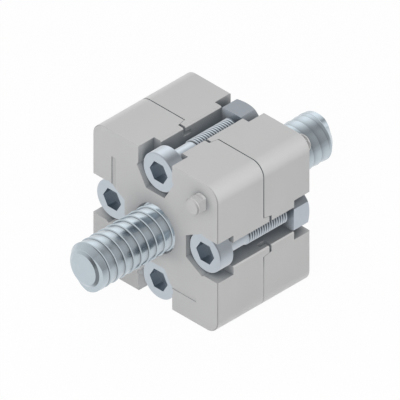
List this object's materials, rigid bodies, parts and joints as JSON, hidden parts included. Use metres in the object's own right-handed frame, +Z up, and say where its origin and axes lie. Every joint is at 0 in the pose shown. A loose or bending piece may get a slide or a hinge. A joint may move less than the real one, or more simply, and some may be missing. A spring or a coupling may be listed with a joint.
{
  "type": "profile end connector",
  "caption": "Square split block that joins two aluminium profiles end to end, with a core screw at each end and clamp screws that pull the halves together.",
  "frame": {"origin": "on the core screws' axis, in the parting plane of the two halves", "axes": "+Y is depth, from the front core screw's tip to the rear one's; +Z is up; +X is width"},
  "size_m": [0.04, 0.0756, 0.04],
  "materials": {
    "cast_aluminium": "die-cast, matt",
    "core_screw_zinc": "zinc-plated, bright",
    "clamp_screw_zinc": "zinc-plated, bright",
    "clamp_nut_zinc": "zinc-plated"
  },
  "bodies": {
    "front_half": {"front_half": "cast_aluminium"},
    "rear_half": {"rear_half": "cast_aluminium", "clamp_nut_top": "clamp_nut_zinc", "clamp_nut_right": "clamp_nut_zinc", "clamp_nut_bottom": "clamp_nut_zinc", "clamp_nut_left": "clamp_nut_zinc"},
    "front_core_screw": {"front_core_screw": "core_screw_zinc"},
    "rear_core_screw": {"rear_core_screw": "core_screw_zinc"},
    "clamp_screw_top": {"clamp_screw_top": "clamp_screw_zinc"},
    "clamp_screw_right": {"clamp_screw_right": "clamp_screw_zinc"},
    "clamp_screw_bottom": {"clamp_screw_bottom": "clamp_screw_zinc"},
    "clamp_screw_left": {"clamp_screw_left": "clamp_screw_zinc"}
  },
  "joints": [
    {"name": "clamp_screw_top_turn", "type": "hinge", "parent": "front_half", "child": "clamp_screw_top", "pos_m": [0, 0, 0.0149], "axis": [0, -1, 0], "range_deg": [0, 1440]},
    {"name": "clamp_screw_right_turn", "type": "hinge", "parent": "front_half", "child": "clamp_screw_right", "pos_m": [0.0149, 0, 0], "axis": [0, -1, 0], "range_deg": [0, 1440]},
    {"name": "clamp_screw_bottom_turn", "type": "hinge", "parent": "front_half", "child": "clamp_screw_bottom", "pos_m": [0, 0, -0.0149], "axis": [0, -1, 0], "range_deg": [0, 1440]},
    {"name": "clamp_screw_left_turn", "type": "hinge", "parent": "front_half", "child": "clamp_screw_left", "pos_m": [-0.0149, 0, 0], "axis": [0, -1, 0], "range_deg": [0, 1440]},
    {"name": "rear_half_slide", "type": "slide", "parent": "front_half", "child": "rear_half", "axis": [0, 1, 0], "range_m": [0, 0.003]},
    {"name": "front_core_screw_spin", "type": "hinge", "parent": "front_half", "child": "front_core_screw", "pos_m": [0, 0, 0], "axis": [0, -1, 0], "continuous": true},
    {"name": "rear_core_screw_spin", "type": "hinge", "parent": "rear_half", "child": "rear_core_screw", "pos_m": [0, 0, 0], "axis": [0, 1, 0], "continuous": true}
  ],
  "couplings": [
    {"joint": "clamp_screw_top_turn", "follows": "rear_half_slide", "rad_per_m": 8377.6},
    {"joint": "clamp_screw_right_turn", "follows": "rear_half_slide", "rad_per_m": 8377.6},
    {"joint": "clamp_screw_bottom_turn", "follows": "rear_half_slide", "rad_per_m": 8377.6},
    {"joint": "clamp_screw_left_turn", "follows": "rear_half_slide", "rad_per_m": 8377.6}
  ]
}
